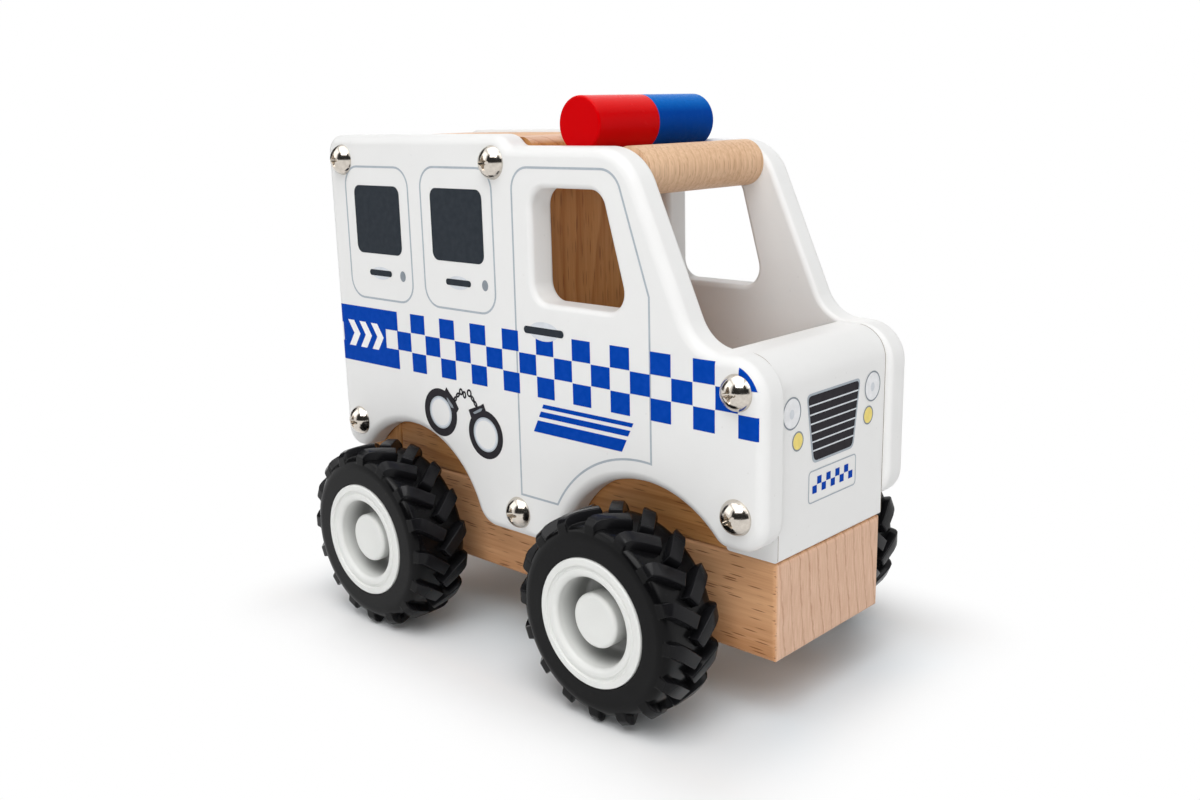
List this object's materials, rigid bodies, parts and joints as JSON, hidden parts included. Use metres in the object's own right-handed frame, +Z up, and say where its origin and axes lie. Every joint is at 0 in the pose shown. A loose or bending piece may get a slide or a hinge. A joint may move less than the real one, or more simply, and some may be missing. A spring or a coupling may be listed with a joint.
{
  "type": "toy police van",
  "caption": "Wooden toy police van: white side panels screwed to beech boards on a beech chassis, with a two-colour roof beacon and free-rolling lugged wheels.",
  "frame": {"origin": "on the ground, under the middle of the van's length and width", "axes": "+X forward, +Y to the van's left, +Z up"},
  "size_m": [0.172, 0.11, 0.1616],
  "materials": {
    "beech": "clear satin varnish",
    "white_paint": "satin white paint on board",
    "red_paint": "semi-gloss red paint",
    "blue_paint": "semi-gloss blue paint",
    "nickel": "polished nickel plate",
    "steel": "drawn rod",
    "rim_plastic": "satin moulded plastic",
    "tyre_rubber": "moulded black rubber"
  },
  "bodies": {
    "body": {"chassis": "beech", "floor_board": "beech", "side_panel_right": "white_paint", "side_panel_left": "white_paint", "front_board": "white_paint", "partition_board": "beech", "rear_board": "beech", "cargo_roof": "beech", "cab_roof": "beech", "roof_bar": "beech", "beacon_red": "red_paint", "beacon_blue": "blue_paint", "beacon_pins": "beech", "screws_right": "nickel", "screws_left": "nickel"},
    "front_wheels": {"front_axle": "steel", "hub_front_right": "rim_plastic", "hub_front_left": "rim_plastic", "tyre_front_right": "tyre_rubber", "tyre_front_left": "tyre_rubber", "cap_front_right": "rim_plastic", "cap_front_left": "rim_plastic"},
    "rear_wheels": {"rear_axle": "steel", "hub_rear_right": "rim_plastic", "hub_rear_left": "rim_plastic", "tyre_rear_right": "tyre_rubber", "tyre_rear_left": "tyre_rubber", "cap_rear_right": "rim_plastic", "cap_rear_left": "rim_plastic"}
  },
  "joints": [
    {"name": "front_axle_spin", "type": "hinge", "parent": "body", "child": "front_wheels", "pos_m": [0.0463, 0, 0.0287], "axis": [0, 1, 0], "continuous": true},
    {"name": "rear_axle_spin", "type": "hinge", "parent": "body", "child": "rear_wheels", "pos_m": [-0.0512, 0, 0.0287], "axis": [0, 1, 0], "continuous": true}
  ]
}
